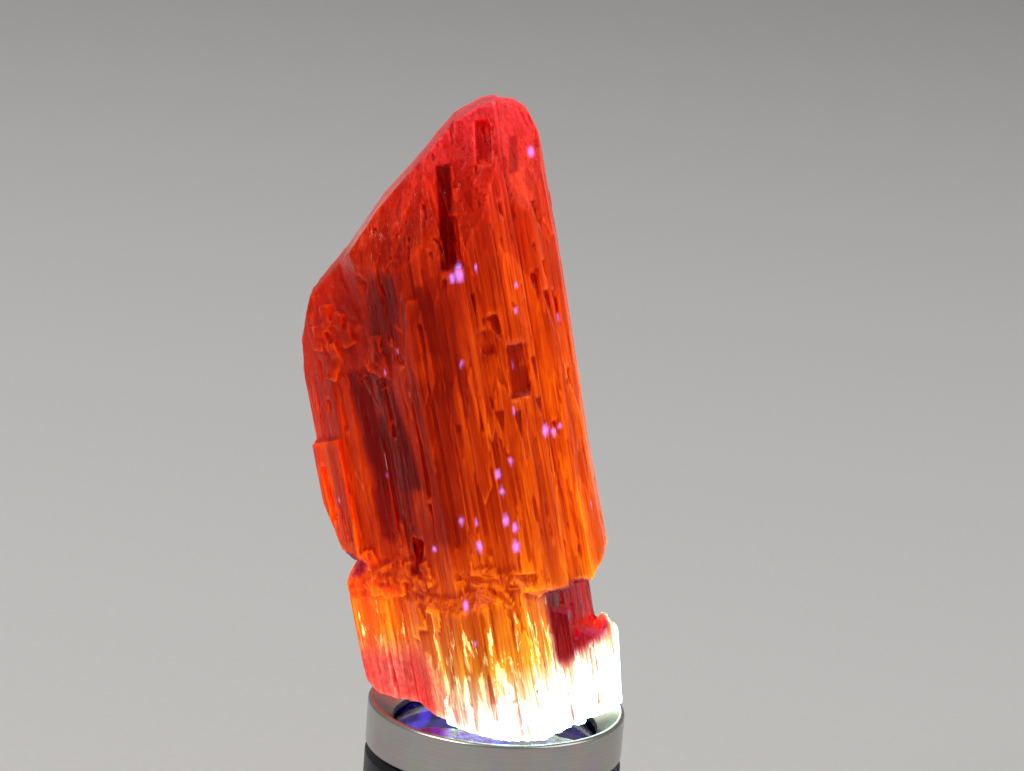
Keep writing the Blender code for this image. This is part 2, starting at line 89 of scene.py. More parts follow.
def turned(name, outline, ring=False):
    """A piece turned about the lamp's axis from (radius, height) points, with smooth walls and crisp edges."""
    mesh = bpy.data.meshes.new(name)
    edges = [(number, number + 1) for number in range(len(outline) - 1)]
    if ring:
        edges.append((len(outline) - 1, 0))
    mesh.from_pydata([(radius * MM, 0.0, height * MM) for radius, height in outline], edges, [])
    piece = bpy.data.objects.new(name, mesh)
    bpy.context.scene.collection.objects.link(piece)
    turning = piece.modifiers.new("Turning", "SCREW")
    turning.steps = TURNING_STEPS
    turning.render_steps = TURNING_STEPS
    turning.use_merge_vertices = True
    turning.merge_threshold = 0.001 * MM
    bpy.context.view_layer.update()
    shaped = piece.evaluated_get(bpy.context.evaluated_depsgraph_get())
    piece.data = bpy.data.meshes.new_from_object(shaped)
    piece.modifiers.clear()
    piece.data.name = name
    piece.data.shade_smooth()
    piece.data.set_sharp_from_angle(angle=math.radians(35))
    return piece


def linear(code, alpha=1.0):
    """A colour as Blender takes it, from its sRGB hex code."""
    shares = [int(code[place:place + 2], 16) / 255 for place in (0, 2, 4)]
    return (*[share / 12.92 if share < 0.04045 else ((share + 0.055) / 1.055) ** 2.4 for share in shares], alpha)


def new_material(name):
    """A new material, its node tree and its shader."""
    material = bpy.data.materials.new(name)
    material.use_nodes = True
    return material, material.node_tree, material.node_tree.nodes["Principled BSDF"]


def add(tree, kind, settings=None, links=None):
    """Adds one node: settings are its own properties or its sockets' values, and links are what feeds its sockets."""
    node = tree.nodes.new("ShaderNode" + kind)
    for name, value in (settings or {}).items():
        if isinstance(name, str) and hasattr(node, name):
            setattr(node, name, value)
        else:
            node.inputs[name].default_value = value
    for name, source in (links or {}).items():
        tree.links.new(source, node.inputs[name])
    return node


def cut_coordinate(tree):
    """A vector whose Z runs along the turning tool's path: outward on faces and up on walls, in millimetres."""
    place = add(tree, "TexCoord").outputs["Object"]
    spot = add(tree, "SeparateXYZ", links={0: place})
    level = add(tree, "CombineXYZ", links={"X": spot.outputs["X"], "Y": spot.outputs["Y"]})
    radius = add(tree, "VectorMath", {"operation": "LENGTH"}, {0: level.outputs[0]})
    path = add(tree, "Math", {"operation": "ADD"}, {0: radius.outputs["Value"], 1: spot.outputs["Z"]})
    path_mm = add(tree, "Math", {"operation": "DIVIDE", 1: MM}, {0: path.outputs[0]})
    return add(tree, "CombineXYZ", links={"Z": path_mm.outputs[0]}).outputs[0]


# Black anodised aluminium: a dyed oxide skin over a turned surface. The eye gets a soft grey sheen that the
# tool's rings break up, and edges where the skin is thinner and looks lighter.
anodised, tree, shader = new_material("black anodised aluminium")
path = cut_coordinate(tree)
# The real feed is about 0.08 mm a turn; it is drawn at 0.22 mm so that it shows.
rings = add(tree, "TexNoise", {"Scale": 4.5, "Detail": 2.0, "Roughness": 0.6}, {"Vector": path})
grit = add(tree, "TexNoise", {"Scale": 3000.0, "Detail": 1.0}, {"Vector": add(tree, "TexCoord").outputs["Object"]})
tint = add(tree, "MixRGB", {"Color1": linear("18181b"), "Color2": linear("2a2a2f")}, {"Fac": rings.outputs["Fac"]})
worn = add(tree, "MapRange", {"From Min": 0.53, "From Max": 0.62}, {"Value": add(tree, "NewGeometry").outputs["Pointiness"]})
skin = add(tree, "MixRGB", {"Color2": linear("5b5b60")}, {"Fac": worn.outputs[0], "Color1": tint.outputs[0]})
matt = add(tree, "MapRange", {"To Min": 0.3, "To Max": 0.5}, {"Value": grit.outputs["Fac"]})
relief = add(tree, "Bump", {"Strength": 0.35, "Distance": 0.00002}, {"Height": rings.outputs["Fac"]})
fine = add(tree, "Bump", {"Strength": 0.2, "Distance": 0.00001}, {"Height": grit.outputs["Fac"], "Normal": relief.outputs[0]})
shader.inputs["Metallic"].default_value = 0.75
tree.links.new(skin.outputs[0], shader.inputs["Base Color"])
tree.links.new(matt.outputs[0], shader.inputs["Roughness"])
tree.links.new(fine.outputs[0], shader.inputs["Normal"])

outline = [(0.0, BORE_FLOOR), (HEAD_RADIUS - HEAD_WALL, BORE_FLOOR), (HEAD_RADIUS - HEAD_WALL, HEAD_TOP),
           (HEAD_RADIUS - FOOT_CHAMFER, HEAD_TOP), (HEAD_RADIUS, HEAD_TOP - FOOT_CHAMFER)]
for low in reversed(FIN_LOWS):
    root = HEAD_RADIUS - FIN_DEPTH
    outline += [(HEAD_RADIUS, low + FIN_GROOVE), (root, low + FIN_GROOVE), (root, low), (HEAD_RADIUS, low)]
outline += [(HEAD_RADIUS, FOOT_CHAMFER), (HEAD_RADIUS - FOOT_CHAMFER, 0.0), (0.0, 0.0)]
head = turned("lamp_head_finished", softened(outline, TURNED_EDGE))
head.data.materials.append(anodised)
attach(head, "root")
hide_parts("lamp_head")

# Board
# A round aluminium board with a white solder mask. It lies on the bore's floor and carries the light source.

mask, tree, shader = new_material("white solder mask")
speck = add(tree, "TexNoise", {"Scale": 2500.0, "Detail": 2.0}, {"Vector": add(tree, "TexCoord").outputs["Object"]})
tone = add(tree, "MixRGB", {"Color1": linear("d9dad4"), "Color2": linear("f1f1ec")}, {"Fac": speck.outputs["Fac"]})
relief = add(tree, "Bump", {"Strength": 0.2, "Distance": 0.00002}, {"Height": speck.outputs["Fac"]})
shader.inputs["Roughness"].default_value = 0.4
tree.links.new(tone.outputs[0], shader.inputs["Base Color"])
tree.links.new(relief.outputs[0], shader.inputs["Normal"])
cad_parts["led_board"].data.materials.clear()
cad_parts["led_board"].data.materials.append(mask)

# Light source
# A square ceramic package with a clear dome, soldered on the board. The dome gives near violet light.

PACKAGE_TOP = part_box("led_emitter")[0].z + 0.8 * MM
source, tree, shader = new_material("ceramic with a lit dome")
height = add(tree, "SeparateXYZ", links={0: add(tree, "TexCoord").outputs["Object"]}).outputs["Z"]
lit = add(tree, "Math", {"operation": "GREATER_THAN", 1: PACKAGE_TOP}, {0: height})
grain = add(tree, "TexNoise", {"Scale": 4000.0}, {"Vector": add(tree, "TexCoord").outputs["Object"]})
body = add(tree, "MixRGB", {"Color1": linear("d8d2bd"), "Color2": linear("efe9d6")}, {"Fac": grain.outputs["Fac"]})
glow = add(tree, "MixRGB", {"Color1": linear("000000"), "Color2": linear("7a5cff")}, {"Fac": lit.outputs[0]})
shader.inputs["Roughness"].default_value = 0.3
shader.inputs["Emission Strength"].default_value = 60.0
tree.links.new(body.outputs[0], shader.inputs["Base Color"])
tree.links.new(glow.outputs[0], shader.inputs["Emission Color"])
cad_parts["led_emitter"].data.materials.clear()
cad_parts["led_emitter"].data.materials.append(source)

# Reflector
# A deep cup of spun aluminium, coated mirror bright in a vacuum. Its inside has an orange-peel texture that
# spreads the light, and its rim lies under the glass.

REFLECTOR_WALL = 0.6
THROAT_RADIUS = 3.2
PEEL_SIZE = 0.9
PEEL_DEPTH = 0.035
reflector_low, reflector_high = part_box("reflector")
cup_bottom = reflector_low.z / MM
cup_top = reflector_high.z / MM
cup_radius = reflector_high.x / MM - REFLECTOR_WALL

inner = []
for share in np.linspace(0.0, 1.0, 28):
    radius = THROAT_RADIUS + (cup_radius - THROAT_RADIUS) * share
    rise = (radius**2 - THROAT_RADIUS**2) / (cup_radius**2 - THROAT_RADIUS**2)
    inner.append((radius, cup_bottom + (cup_top - cup_bottom) * rise))
outer = [(radius + REFLECTOR_WALL, height) for radius, height in reversed(inner)]
cup = turned("reflector_coated", outer + inner, ring=True)


def chance_at(cells, seed):
    """Three repeatable chance numbers from 0 to 1 for each whole-numbered place."""
    stirred = cells @ np.array([[12.9898, 39.3461, 73.1562], [78.2330, 11.1350, 52.2350], [37.7190, 83.1550, 9.1510]])
    return np.modf(np.abs(np.sin(stirred + seed) * 43758.5453))[0]


def drift(places, size, seed):
    """A smooth wandering value from 0 to 1, whose swells are of that size along each axis."""
    scaled = places / size
    home = np.floor(scaled)
    within = scaled - home
    ease = within * within * (3.0 - 2.0 * within)
    total = np.zeros(len(places))
    for corner in itertools.product((0, 1), repeat=3):
        share = np.prod(np.where(corner, ease, 1.0 - ease), axis=1)
        total += share * chance_at(home + corner, seed)[:, 0]
    return total


def read_points(mesh):
    flat = np.empty(len(mesh.vertices) * 3)
    mesh.vertices.foreach_get("co", flat)
    return flat.reshape(-1, 3)


def read_normals(mesh):
    flat = np.empty(len(mesh.vertices) * 3, np.float32)
    mesh.vertex_normals.foreach_get("vector", flat)
    return flat.reshape(-1, 3).astype(float)


points = read_points(cup.data)
normals = read_normals(cup.data)
facing_in = (normals[:, :2] * points[:, :2]).sum(axis=1) < 0.0
peel = drift(points / MM, np.full(3, PEEL_SIZE), 3.0) - 0.5
points += normals * (peel * PEEL_DEPTH * MM * facing_in)[:, None]
cup.data.vertices.foreach_set("co", points.ravel())

# Vacuum-coated aluminium: a bright, slightly blue mirror whose peel bends every reflection.
coating, tree, shader = new_material("vacuum-coated aluminium")
haze = add(tree, "TexNoise", {"Scale": 900.0, "Detail": 2.0}, {"Vector": add(tree, "TexCoord").outputs["Object"]})
matt = add(tree, "MapRange", {"To Min": 0.03, "To Max": 0.12}, {"Value": haze.outputs["Fac"]})
tone = add(tree, "MixRGB", {"Color1": linear("dfe2e8"), "Color2": linear("f2f3f6")}, {"Fac": haze.outputs["Fac"]})
shader.inputs["Metallic"].default_value = 1.0
tree.links.new(tone.outputs[0], shader.inputs["Base Color"])
tree.links.new(matt.outputs[0], shader.inputs["Roughness"])
cup.data.materials.append(coating)
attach(cup, "root")
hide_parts("reflector")

# Filter glass
# A polished disc of dark violet glass, ground with a fine bevel all round. It is held up under the ring's lip.

GLASS_BEVEL = 0.3
glass_low, glass_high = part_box("filter_glass")
low, high, radius = glass_low.z / MM, glass_high.z / MM, glass_high.x / MM
outline = [(0.0, high), (radius - GLASS_BEVEL, high), (radius, high - GLASS_BEVEL),
           (radius, low + GLASS_BEVEL), (radius - GLASS_BEVEL, low), (0.0, low)]
disc = turned("filter_glass_polished", softened(outline, 0.05))

# Violet filter glass: nearly black from the side, with sharp reflections, and a deep violet where light comes up.
violet_glass, tree, shader = new_material("violet filter glass")
smear = add(tree, "TexNoise", {"Scale": 300.0, "Detail": 3.0}, {"Vector": add(tree, "TexCoord").outputs["Object"]})
matt = add(tree, "MapRange", {"To Min": 0.0, "To Max": 0.06}, {"Value": smear.outputs["Fac"]})
shader.inputs["Base Color"].default_value = linear("ffffff")
shader.inputs["Transmission Weight"].default_value = 1.0
shader.inputs["IOR"].default_value = 1.52
tree.links.new(matt.outputs[0], shader.inputs["Roughness"])
depth = add(tree, "VolumeAbsorption", {"Color": linear("9a30f0"), "Density": 900.0})
tree.links.new(depth.outputs[0], tree.nodes["Material Output"].inputs["Volume"])
disc.data.materials.append(violet_glass)
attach(disc, "root")
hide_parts("filter_glass")

# Bezel ring
# A steel ring, turned and then polished. It screws on over the bore, holds the glass down and carries the
# crystal on the narrow land at its rim; the wide chamfer inside it leads down to the glass.

SKIRT_WALL = 0.5
RIM_LAND = 0.6
MOUTH_RADIUS = 10.1
MOUTH_DEPTH = 1.9
LIP_THICKNESS = 0.7
PIECE_GAP = 0.3
ring_low, ring_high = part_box("bezel_ring")
ring_radius = ring_high.x / MM
rim_height = ring_high.z / MM
skirt_low = ring_low.z / MM
ring_seat = HEAD_TOP + PIECE_GAP
skirt_outer = HEAD_RADIUS - HEAD_WALL - PIECE_GAP
skirt_inner = skirt_outer - SKIRT_WALL
lip_top = rim_height - MOUTH_DEPTH
lip_low = lip_top - LIP_THICKNESS
edge = RIM_LAND / 3
outline = [(ring_radius - edge, rim_height), (ring_radius, rim_height - edge), (ring_radius, ring_seat + edge),
           (ring_radius - edge, ring_seat), (skirt_outer, ring_seat), (skirt_outer, skirt_low),
           (skirt_inner, skirt_low), (skirt_inner, lip_low), (MOUTH_RADIUS, lip_low), (MOUTH_RADIUS, lip_top),
           (ring_radius - RIM_LAND, rim_height - edge / 2), (ring_radius - RIM_LAND + edge / 2, rim_height)]
bezel = turned("bezel_ring_polished", softened(outline, TURNED_EDGE, ring=True), ring=True)

# Turned stainless steel: bright, with fine rings that draw each reflection out into an arc.
steel, tree, shader = new_material("turned stainless steel")
path = cut_coordinate(tree)
# The real polish lines are about 0.05 mm apart; they are drawn at 0.15 mm so that they show.
rings = add(tree, "TexNoise", {"Scale": 7.0, "Detail": 3.0, "Roughness": 0.65}, {"Vector": path})
stain = add(tree, "TexNoise", {"Scale": 350.0, "Detail": 3.0}, {"Vector": add(tree, "TexCoord").outputs["Object"]})
tone = add(tree, "MixRGB", {"Color1": linear("a7a29c"), "Color2": linear("cfccc8")}, {"Fac": rings.outputs["Fac"]})
cloud = add(tree, "MixRGB", {"blend_type": "MULTIPLY", "Fac": 0.25}, {"Color1": tone.outputs[0], "Color2": stain.outputs["Color"]})
matt = add(tree, "MapRange", {"To Min": 0.16, "To Max": 0.34}, {"Value": rings.outputs["Fac"]})
relief = add(tree, "Bump", {"Strength": 0.3, "Distance": 0.00002}, {"Height": rings.outputs["Fac"]})
shader.inputs["Metallic"].default_value = 1.0
tree.links.new(cloud.outputs[0], shader.inputs["Base Color"])
tree.links.new(matt.outputs[0], shader.inputs["Roughness"])
tree.links.new(relief.outputs[0], shader.inputs["Normal"])
bezel.data.materials.append(steel)
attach(bezel, "root")
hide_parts("bezel_ring")

# Crystal
# One natural crystal of kunzite, the pink spodumene: fused growth columns with lengthwise grooves and plates,
# sharp etch pits, a frosted shoulder and tip, and a rough healed break near its foot. It rests on the rim and
# glows orange in the lamp's ultraviolet light. Places on it are (across, through, up) along its own axis.

CRYSTAL_LEAN = math.radians(13.7)
GRID = 0.2
LENGTH_GRID = 0.39
crystal_axis = Matrix.Translation((0.0, 0.0, rim_height)) @ Matrix.Rotation(-CRYSTAL_LEAN, 4, "Y")


def fine_crystal():
    """The CAD crystal as a fine even mesh in its own axes, finer across than along, with its faces kept true."""
    drawing = bmesh.new()
    drawing.from_mesh(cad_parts["kunzite_crystal"].data)
    bmesh.ops.remove_doubles(drawing, verts=drawing.verts, dist=0.0005 * MM)
    squeeze = Matrix.Diagonal((1.0, 1.0, GRID / LENGTH_GRID, 1.0))
    drawing.transform(squeeze @ crystal_axis.inverted() @ Matrix.Scale(1 / MM, 4))
    mesh = bpy.data.meshes.new("kunzite_grown")
    drawing.to_mesh(mesh)
    truth = BVHTree.FromBMesh(drawing)
    drawing.free()
    piece = bpy.data.objects.new("kunzite_grown", mesh)
    bpy.context.scene.collection.objects.link(piece)
    remesh = piece.modifiers.new("Fine", "REMESH")
    remesh.mode = "VOXEL"
    remesh.voxel_size = GRID
    bpy.context.view_layer.update()
    piece.data = bpy.data.meshes.new_from_object(piece.evaluated_get(bpy.context.evaluated_depsgraph_get()))
    piece.modifiers.clear()
    piece.data.name = "kunzite_grown"
    places = np.array([truth.find_nearest(corner.co)[0] for corner in piece.data.vertices])
    places[:, 2] *= LENGTH_GRID / GRID
    piece.data.vertices.foreach_set("co", places.ravel())
    piece.data.update()
    return piece


def step(value, low, high):
    """0 below low, 1 above high, and an even curve between; low may be the larger."""
    share = np.clip((value - low) / (high - low), 0.0, 1.0)
    return share * share * (3.0 - 2.0 * share)


def grains(places, size, seed):
    """Intergrown grains of that size: how far each place is from its grain's middle, how near its border, and
    its grain's own chance number. Distances add up along the axes, so the grains have flat sides."""
    scaled = places / size
    home = np.floor(scaled)
    nearest = np.full(len(places), 9.0)
    second = nearest.copy()
    own = np.zeros(len(places))
    for offset in itertools.product((-1, 0, 1), repeat=3):
        chance = chance_at(home + offset, seed)
        reach = np.abs(home + offset + chance - scaled).sum(axis=1)
        closer = reach < nearest
        second = np.where(closer, nearest, np.minimum(second, reach))
        own = np.where(closer, chance[:, 1], own)
        nearest = np.where(closer, reach, nearest)
    return nearest, second - nearest, own


crystal = fine_crystal()
places = read_points(crystal.data)
normals = read_normals(crystal.data)
across, through, up = places.T
on_prism = step(np.abs(normals[:, 2]), 0.75, 0.35)
in_front = step(through, -0.5, -3.0)

shoulder = step(up, 33.5, 37.5) * step(up, 49.0, 45.0) * step(across, -3.0, -6.0)
tip = step(up, 52.0, 56.0)
healed = step(up, 12.6, 13.6) * step(up, 19.0, 17.0) * step(across, -2.0, -4.0)
wing = step(up, 10.0, 6.0) * step(across, -4.0, -6.0)
frosted = np.clip(0.7 * shoulder + 0.55 * tip + healed + 0.6 * wing, 0.0, 1.0)

plates = grains(places, np.array([2.4, 2.4, 17.0]), 1.0)
ribs = grains(places, np.array([1.25, 1.25, 15.0]), 2.0)
fine_ribs = grains(places, np.array([0.6, 0.6, 9.0]), 3.0)
grit = grains(places, np.array([0.85, 0.85, 0.95]), 4.0)
swell = drift(places, np.array([5.0, 5.0, 13.0]), 5.0)
clear = 1.0 - frosted
relief = on_prism * clear * (0.2 * (plates[2] - 0.5) + 0.1 * (0.5 - ribs[0]) + 0.05 * (0.5 - fine_ribs[0]))
relief += 0.2 * (swell - 0.5)
relief += 0.16 * frosted * (0.6 - grit[0]) * (0.4 + 0.6 * np.clip(healed + shoulder, 0.0, 1.0))

# Etch pits: narrow triangles that point down, sunk into the prism faces all round, by chance and where they show
chance = random.Random(21)
pits = [
    (8.9, 50.8, 48.6, 0.8, -8), (12.1, 49.2, 46.8, 0.7, 0), (10.9, 43.0, 39.8, 0.8, -5), (11.8, 41.2, 37.0, 1.0, -6),
    (12.5, 40.4, 36.4, 0.7, 0), (12.6, 33.4, 31.0, 0.6, 0), (7.0, 40.6, 37.2, 1.0, -12), (8.9, 41.2, 39.8, 0.7, -12),
]
sunk = np.zeros(len(places))
prism_places = np.flatnonzero(on_prism > 0.9)
marks = []
for pit_across, pit_top, pit_low, width, lean in pits:
    off = np.hypot(across - pit_across, up - (pit_top + pit_low) / 2) + 9.0 * (normals[:, 1] > -0.2)
    marks.append((int(np.argmin(off)), pit_top - pit_low, width, lean))
for number in range(130):
    spot = int(prism_places[chance.randrange(len(prism_places))])
    high = step(up[spot], 20.0, 44.0)
    if chance.random() < 0.25 + 0.75 * high:
        marks.append((spot, chance.uniform(0.9, 3.4), chance.uniform(0.3, 0.8), chance.uniform(-14.0, 8.0)))
for spot, length, width, lean in marks:
    outward = normals[spot, :2] / max(np.hypot(*normals[spot, :2]), 0.01)
    sideways = (across - across[spot]) * -outward[1] + (through - through[spot]) * outward[0]
    inward = (across - across[spot]) * outward[0] + (through - through[spot]) * outward[1]
    share = (up - up[spot]) / length + 0.5
    middle = math.tan(math.radians(lean)) * (up - up[spot])
    half = width / 2 * np.clip(share, 0.0, 1.0)
    inside = np.clip((half - np.abs(sideways - middle)) / (0.3 * width), 0.0, 1.0)
    inside *= (share > 0.0) * step(share, 1.04, 0.92) * (np.abs(inward) < 1.5)
    sunk = np.maximum(sunk, inside * (0.5 + 0.5 * np.clip(share, 0.0, 1.0)))
relief -= 0.34 * sunk

places += normals * relief[:, None]
crystal.data.vertices.foreach_set("co", places.ravel())
crystal.data.update()
normals = read_normals(crystal.data)

# How far each place stands out of its surroundings: edges stand out, grooves and pits lie back
ends = np.empty(len(crystal.data.edges) * 2, np.int32)
crystal.data.edges.foreach_get("vertices", ends)
ends = ends.reshape(-1, 2)


def evened(values):
    """The mean over each place's neighbours."""
    total = np.zeros(len(places))
    count = np.bincount(ends.ravel(), minlength=len(places))
    np.add.at(total, ends[:, 0], values[ends[:, 1]])
    np.add.at(total, ends[:, 1], values[ends[:, 0]])
    return total / count


around = np.stack([evened(places[:, axis]) for axis in range(3)], axis=1)
proud = ((places - around) * normals).sum(axis=1)
proud = 0.6 * proud + 0.4 * evened(proud)
# Standing edges get a painted highlight in the glow, and grooves and pits get painted shade
ridge_highlight = step(proud, 0.006, 0.03)
hollow_shade = step(proud, -0.004, -0.03)

# Where the glow is dim: clear windows that show the dark inside, and deep places darkened as painted shade, as (across,
# up, half width, half height, lean in degrees, softness, what is left of the glow)
dim_places = [
    (-5.6, 30.6, 2.3, 5.8, -6, 0.9, 0.12),
    (-6.0, 22.4, 2.0, 2.8, -4, 0.8, 0.3),
    (-3.6, 41.5, 1.3, 4.2, 4, 0.9, 0.35),
    (-0.8, 27.5, 1.8, 8.0, 0, 1.6, 0.55),
    (0.6, 41.0, 1.4, 3.6, 6, 1.2, 0.55),
    (3.9, 50.3, 0.7, 4.6, 5, 0.25, 0.05),
    (8.3, 56.5, 0.55, 2.0, 8, 0.3, 0.45),
    (10.8, 54.4, 0.4, 1.6, 8, 0.3, 0.4),
    (8.0, 34.8, 0.8, 2.5, 0, 0.25, 0.4),
    (6.0, 38.0, 0.8, 1.4, 8, 0.3, 0.55),
    (-4.5, 17.8, 0.6, 1.6, 12, 0.25, 0.08),
]
glow = np.ones(len(places))
wobble = 1.2 * (drift(places, np.array([1.3, 1.3, 2.4]), 6.0) - 0.5)
for middle_across, middle_up, half_width, half_height, lean, soft, left in dim_places:
    aside = across - middle_across - math.tan(math.radians(lean)) * (up - middle_up)
    outside = np.maximum(np.abs(aside) - half_width, np.abs(up - middle_up) - half_height) + wobble * min(soft, 0.6)
    glow *= 1.0 - (1.0 - left) * step(outside, soft / 2, -soft / 2) * in_front
# Painted shade: the recess at the foot and the notch on the left are darkened in the glow
recess = step(up, 13.2, 12.6) * step(up, 4.0, 6.0) * step(across, 6.6, 7.4) * step(np.hypot(across, through), 12.6, 12.0)
notch = step(np.hypot(across + 11.6, up - 16.8), 1.8, 1.2)
deep = np.clip(recess + notch, 0.0, 1.0)
middle_height = step(up, 14.0, 20.0) * step(up, 50.0, 42.0)
profile = np.interp(across, [-13.0, -10.5, -8.6, -7.6, -3.5, -1.0, 2.0, 5.0, 8.0, 11.0, 13.5],
                    [0.85, 0.7, 0.8, 0.5, 0.5, 0.6, 0.66, 0.8, 0.95, 1.05, 1.1])
glow *= 1.0 - middle_height * (1.0 - profile)
# Painted shade: the glow is dimmed inside the etch pits and in grooves; the plates differ in glow at random
glow *= (1.0 - 0.7 * sunk) * (1.0 - 0.45 * hollow_shade) * (0.82 + 0.36 * plates[2] * clear)
glow *= 1.0 - 0.92 * deep

pitted = np.clip(0.25 + step(up, 26.0, 36.0) * (0.3 + 0.7 * step(across, 2.0, 6.0)), 0.0, 1.0) * clear * step(up, 12.0, 16.0)
veiled = step(np.hypot((across + 4.4) / 3.6, (up - 37.0) / 3.4), 1.0, 0.7) * in_front
# Painted glints: small facets where the lamp's violet light is painted into the glow as a reflection, as (across, up,
# radius)
painted_glints = [(4.3, 45.1, 0.55), (3.6, 44.9, 0.35), (5.9, 45.3, 0.2), (9.2, 42.8, 0.2), (8.8, 40.5, 0.22), (12.4, 38.2, 0.18),
          (9.6, 28.3, 0.4), (10.3, 27.8, 0.3), (11.0, 28.2, 0.2), (6.0, 26.6, 0.25), (4.7, 25.7, 0.35), (4.8, 24.0, 0.3),
          (0.5, 21.6, 0.3), (1.9, 21.4, 0.22), (4.7, 21.2, 0.4), (5.4, 20.2, 0.35), (1.8, 19.0, 0.4), (5.2, 18.4, 0.45),
          (-2.6, 18.9, 0.25), (-0.4, 13.6, 0.35), (7.1, 31.2, 0.2), (3.0, 36.6, 0.15), (12.4, 54.2, 0.4)]
painted_glint = np.zeros(len(places))
for glint_across, glint_up, radius in painted_glints:
    away = np.hypot(across - glint_across, 0.6 * (up - glint_up)) / radius
    painted_glint = np.maximum(painted_glint, step(away, 1.0, 0.35) * in_front)
# More painted glints, scattered at random
painted_sparkle = grains(places, np.array([3.0, 3.0, 5.0]), 8.0)
painted_glint = np.maximum(painted_glint, 0.8 * step(painted_sparkle[0], 0.085, 0.03))
glow_masks = {"glow": glow, "ridge_highlight": ridge_highlight, "frosted": frosted, "deep": deep, "wing": wing, "pitted": pitted,
              "veiled": veiled, "painted_glint": painted_glint}
for name, values in glow_masks.items():
    crystal.data.attributes.new(name, "FLOAT", "POINT").data.foreach_set("value", values.astype(np.float32))
layer = crystal.data.attributes.new("growth_place", "FLOAT_VECTOR", "POINT")
layer.data.foreach_set("vector", places.astype(np.float32).ravel())
crystal.data.transform(Matrix.Scale(MM, 4) @ crystal_axis)
crystal.data.shade_smooth()

# Kunzite in ultraviolet light: clear, glossy on its growth faces and frosted where it is etched. The glow is
# white and yellow by the lamp, orange along the body and rose red at the tip. It comes out in sharp-sided bands
# along the growth, with painted shading that makes it brighter on faces turned one way, painted shade in the pits
# and the recess, painted highlights on standing edges and painted violet glints, and it is lost in the clear windows.
kunzite, tree, shader = new_material("glowing kunzite")
place = add(tree, "Attribute", {"attribute_name": "growth_place"}).outputs["Vector"]
masks = {name: add(tree, "Attribute", {"attribute_name": name}).outputs["Fac"]
         for name in ("glow", "ridge_highlight", "frosted", "deep", "wing", "pitted", "veiled", "painted_glint")}
height = add(tree, "SeparateXYZ", links={0: place}).outputs["Z"]


def arithmetic(operation, *values):
    """The socket of a sum, product or like step over values, which are sockets or numbers."""
    node = add(tree, "Math", {"operation": operation})
    for number, value in enumerate(values):
        if isinstance(value, (int, float)):
            node.inputs[number].default_value = value
        else:
            tree.links.new(value, node.inputs[number])
    return node.outputs[0]


def spread(value, low, high, to_low=0.0, to_high=1.0):
    """Takes a value from one range to another and holds it there."""
    settings = {"From Min": low, "From Max": high, "To Min": to_low, "To Max": to_high}
    return add(tree, "MapRange", settings, {"Value": value}).outputs[0]


def texture(kind, size, output, settings):
    """A texture over the crystal whose features have that size in millimetres, across and along it."""
    scale = (1 / size[0], 1 / size[0], 1 / size[1])
    spots = add(tree, "Mapping", {"Scale": scale}, {"Vector": place})
    return add(tree, kind, {"Scale": 1.0, **settings}, {"Vector": spots.outputs[0]}).outputs[output]


def daggers(width, length, seed, share):
    """Marks that are narrow triangles, point down, one in each cell of the growth that has one: 1 inside."""
    scale = (1 / width, 1 / width, 1 / length)
    spots = add(tree, "Mapping", {"Scale": scale, "Location": (seed, seed, seed)}, {"Vector": place}).outputs[0]
    cell = add(tree, "TexVoronoi", {"Scale": 1.0, "Randomness": 0.9}, {"Vector": spots})
    chance = add(tree, "SeparateColor", links={0: cell.outputs["Color"]})
    aside = add(tree, "VectorMath", {"operation": "SUBTRACT"}, {0: spots, 1: cell.outputs["Position"]}).outputs[0]
    parts = add(tree, "SeparateXYZ", links={0: aside})
    level = add(tree, "CombineXYZ", links={"X": parts.outputs["X"], "Y": parts.outputs["Y"]})
    reach = add(tree, "VectorMath", {"operation": "LENGTH"}, {0: level.outputs[0]}).outputs["Value"]
    rise = arithmetic("ADD", parts.outputs["Z"], 0.4)
    half = arithmetic("MULTIPLY", rise, spread(chance.outputs[2], 0.0, 1.0, 0.12, 0.42))
    inside = spread(arithmetic("SUBTRACT", half, reach), 0.0, 0.06)
    top = spread(parts.outputs["Z"], 0.36, 0.3)
    there = spread(arithmetic("SUBTRACT", arithmetic("MULTIPLY", masks["pitted"], share), chance.outputs[0]), 0.0, 0.02)
    return arithmetic("MULTIPLY", arithmetic("MULTIPLY", inside, top), there)


CRYSTAL_LENGTH = 62.0
colours = add(tree, "ValToRGB", links={"Fac": arithmetic("DIVIDE", height, CRYSTAL_LENGTH)})
GLOW_BY_HEIGHT = [(0.0, "ffe9b0"), (3.5, "ffdc66"), (7.0, "fdb933"), (10.0, "fc921c"), (14.0, "f8740e"),
                  (20.0, "ee5f05"), (30.0, "dd4d03"), (42.0, "cb3a05"), (49.0, "c6300d"), (54.0, "d22c1e"),
                  (60.0, "e6404a")]
while len(colours.color_ramp.elements) < len(GLOW_BY_HEIGHT):
    colours.color_ramp.elements.new(0.5)
for stop, (stop_height, code) in zip(colours.color_ramp.elements, GLOW_BY_HEIGHT):
    stop.position = stop_height / CRYSTAL_LENGTH
    stop.color = linear(code)

